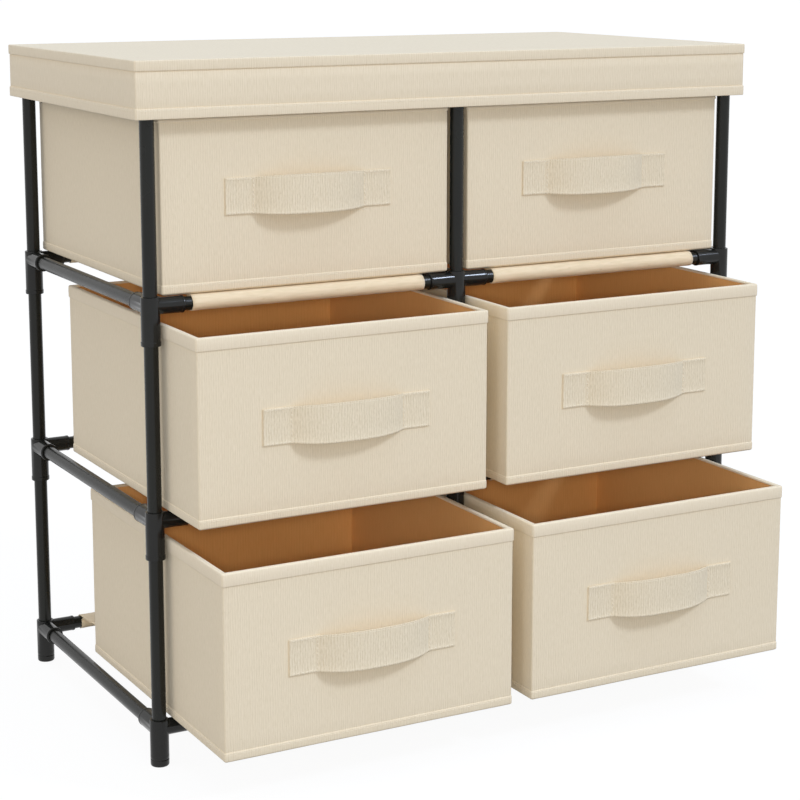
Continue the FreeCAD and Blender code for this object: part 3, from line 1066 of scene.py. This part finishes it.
def sewStrap(bm, low, high, path):
    middle = (low.z + high.z) / 2
    tall = (high.z - low.z) / 2 - strap["seam"]
    half = strap["cloth"] / 2
    lengths = [0.0]
    for a, b in zip(path, path[1:]):
        lengths.append(lengths[-1] + (b - a).length)

    def along(distance):
        j = max(i for i in range(len(path) - 1) if lengths[i] <= distance)
        share = (distance - lengths[j]) / (lengths[j + 1] - lengths[j])
        ahead = (path[j + 1] - path[j]).normalized()
        out = Vector((ahead.y, -ahead.x, 0))
        point = path[j].lerp(path[j + 1], share)
        return point + out * half, ahead, out, strapSwell(low, high, path, point)

    edge = strap["seam"]
    run = lengths[-1] - 2 * edge
    count = round(run / stitch["pitch"])
    for up in (tall, -tall):
        for i in range(count):
            place = edge + run * (i + 0.5) / count
            point, ahead, out, taller = along(place)
            sewnDown = min(place, lengths[-1] - place) < strap["patch"]
            thread = stitch["patch"] if sewnDown else stitch["strap"]
            addStitch(bm, point + Vector((0, 0, middle + up * taller)), ahead, out, thread)
    # a line across, on the crest of each pleat
    crest = [i for i, point in enumerate(path[1:-1], 1) if path[i - 1].y > point.y < path[i + 1].y]
    for i in (crest[0], crest[-1]):
        point = path[i] - Vector((0, half, 0))
        ends = [point + Vector((0, 0, middle + up)) for up in (-tall, tall)]
        sewLine(bm, *ends, Vector((0, -1, 0)), stitch["patch"])


def drawerPieces(row, bay, seed):
    body = f"drawer_{row}_{bay}"
    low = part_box(body + "_shell")[0]
    rimLow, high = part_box(body + "_rim")
    strapLow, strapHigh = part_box(body + "_strap")
    shellTop = high.z - drawer["binding"]

    shell = shellMesh(low, high, shellTop)
    ripple(shell, drawer["ripple"], drawer["rippleSize"], seed)
    lining = liningMesh(low, high, shellTop)
    rim = rimMesh(low, high, rimLow.z)
    path = strapPath(strapLow, strapHigh, low.y + drawer["proud"])
    handle = strapMesh(strapLow, strapHigh, path)
    makePiece(body + "_outerCloth", shell, drawerCloth, body, [body + "_shell"])
    makePiece(body + "_innerCloth", lining, liningCloth, body, [body + "_lining"])
    makePiece(body + "_rimBinding", rim, rimCloth, body, [body + "_rim"])
    makePiece(body + "_handleStrap", handle, strapCloth, body, [body + "_strap"])

    sewing = bmesh.new()
    inset = Vector((drawer["hemInset"], drawer["hemInset"], 0))
    sewRound(sewing, low + inset, high - inset, low.z + drawer["hem"] - drawer["hemStitch"])
    sewStrap(sewing, strapLow, strapHigh, path)
    makePiece(body + "_stitches", sewing, threadCloth, body, [])
    dressBoard(body + "_base_board", boardWrap)


firstSeed, rowSeed, baySeed = drawer["rippleSeed"]
for i, row in enumerate(rows):
    for j, bay in enumerate(bays):
        drawerPieces(row, bay, firstSeed + rowSeed * i + baySeed * j)
print("drawers made")

# lid
lid = {
    "radius": 1.7 * mm,
    "proud": 0.8 * mm,
    "wall": 2.0 * mm,
    "cloth": 0.8 * mm,
    "groove": 0.35 * mm,        # under the edge trim
    "stitch": 1.7 * mm,         # stitch line below the hem's upper edge
    "ripple": 0.14 * mm,
    "rippleSize": 0.1,
    "rippleSeed": 3.1,
}


def lidPieces():
    low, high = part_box("lid_cover")
    trimLow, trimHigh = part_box("lid_edge_trim")
    low, high = Vector((trimLow.x, trimLow.y, low.z)), Vector((trimHigh.x, trimHigh.y, high.z))
    inner, proud = lid["proud"] + lid["wall"], lid["proud"]
    bottom, top, hem, trim = low.z, high.z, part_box("lid_hem")[1].z, trimLow.z
    # down the inside of the skirt, round its hem, up to the trim and over the edge of the top
    outline = levels(inner, top - lid["cloth"], bottom + 0.4 * mm)
    outline += [(inner - 0.4 * mm, bottom), (0.5 * mm, bottom), (0.1 * mm, bottom + 0.3 * mm)]
    outline += [(0, bottom + 0.9 * mm), (0, hem - 0.9 * mm), (0.1 * mm, hem - 0.35 * mm)]
    outline += [(0.4 * mm, hem), (proud + 0.15 * mm, hem + 0.05 * mm)]
    outline += levels(proud, hem + 0.5 * mm, trim - 0.7 * mm)
    groove = proud + lid["groove"]
    outline += [(groove, trim - 0.25 * mm), (groove, trim), (0.4 * mm, trim + 0.05 * mm)]
    outline += [(0.1 * mm, trim + 0.35 * mm), (0, trim + 0.9 * mm), (0, top - 1.1 * mm)]
    outline += [(0.06 * mm, top - 0.65 * mm), (0.25 * mm, top - 0.3 * mm), (0.6 * mm, top - 0.08 * mm)]
    outline += [(1.1 * mm, top), (8 * mm, top)]
    cover = bmesh.new()
    sweepWalls(cover, low, high, lid["radius"], outline)
    ripple(cover, lid["ripple"], lid["rippleSize"], lid["rippleSeed"])
    nodes = ["lid_cover", "lid_edge_trim", "lid_hem"]
    makePiece("lidCloth", cover, lidCloth, "lid", nodes)
    sewing = bmesh.new()
    sewRound(sewing, low, high, hem - lid["stitch"])
    makePiece("lidStitches", sewing, threadCloth, "lid", [])
    dressBoard("lid_board", rawBoard)


lidPieces()
print("lid made")
